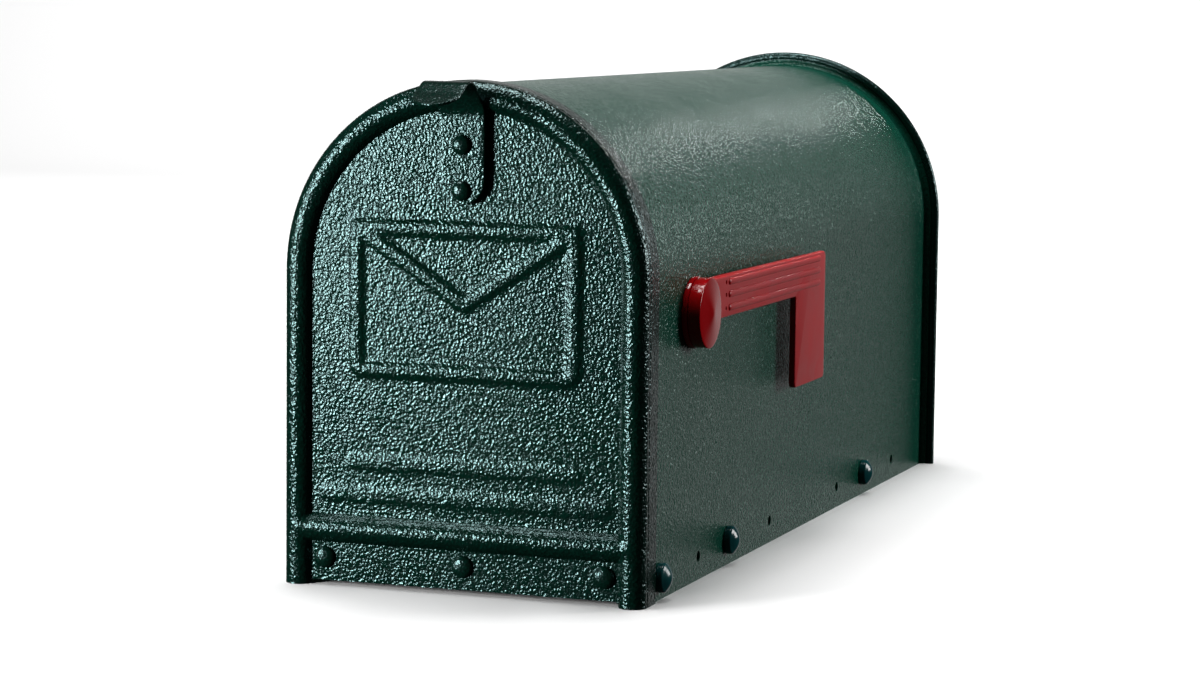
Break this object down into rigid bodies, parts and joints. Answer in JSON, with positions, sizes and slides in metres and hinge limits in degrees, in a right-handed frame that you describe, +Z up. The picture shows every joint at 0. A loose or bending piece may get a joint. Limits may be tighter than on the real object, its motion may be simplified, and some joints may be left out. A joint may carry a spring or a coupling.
{
  "type": "mailbox",
  "caption": "Arched steel post-mount mailbox with a drop-down front door, riveted pull tab and a plastic signal flag on its side.",
  "frame": {"origin": "centre of the raised floor's underside, where the mounting board bears", "axes": "+Z up, +Y from the door to the rear wall, +X towards the flag"},
  "size_m": [0.1779, 0.5065, 0.2223],
  "materials": {
    "body_paint": "dark green leathery powder coat",
    "door_paint": "dark green hammered powder coat",
    "rivet_plastic": "glossy blue-green plastic",
    "flag_plastic": "satin crimson plastic",
    "zinc_steel": "zinc plated"
  },
  "bodies": {
    "box": {"body_shell": "body_paint", "rear_panel": "body_paint", "floor_pan": "body_paint", "catch_plate": "zinc_steel", "hinge_pin_right": "rivet_plastic", "hinge_pin_left": "rivet_plastic", "hinge_washer_right": "zinc_steel", "hinge_washer_left": "zinc_steel", "hinge_retainer_right": "zinc_steel", "hinge_retainer_left": "zinc_steel", "floor_rivet_front_right": "rivet_plastic", "floor_rivet_front_left": "rivet_plastic", "floor_rivet_rear_right": "rivet_plastic", "floor_rivet_rear_left": "rivet_plastic", "flag_base": "flag_plastic", "flag_pivot_bolt": "zinc_steel", "flag_wave_washer": "zinc_steel", "flag_backing_plate": "zinc_steel", "flag_lock_nut": "zinc_steel"},
    "door": {"door_panel": "door_paint", "hinge_bar": "door_paint", "hinge_bar_rivets": "door_paint", "latch_strap": "door_paint", "latch_rivets": "door_paint", "latch_hook": "door_paint"},
    "flag": {"flag_arm": "flag_plastic", "flag_hub_cap": "flag_plastic"}
  },
  "joints": [
    {"name": "door_hinge", "type": "hinge", "parent": "box", "child": "door", "pos_m": [0, -0.2121, -0.0123], "axis": [1, 0, 0], "range_deg": [0, 100]},
    {"name": "flag_pivot", "type": "hinge", "parent": "box", "child": "flag", "pos_m": [0.085, -0.1722, 0.096], "axis": [1, 0, 0], "range_deg": [0, 90]}
  ]
}
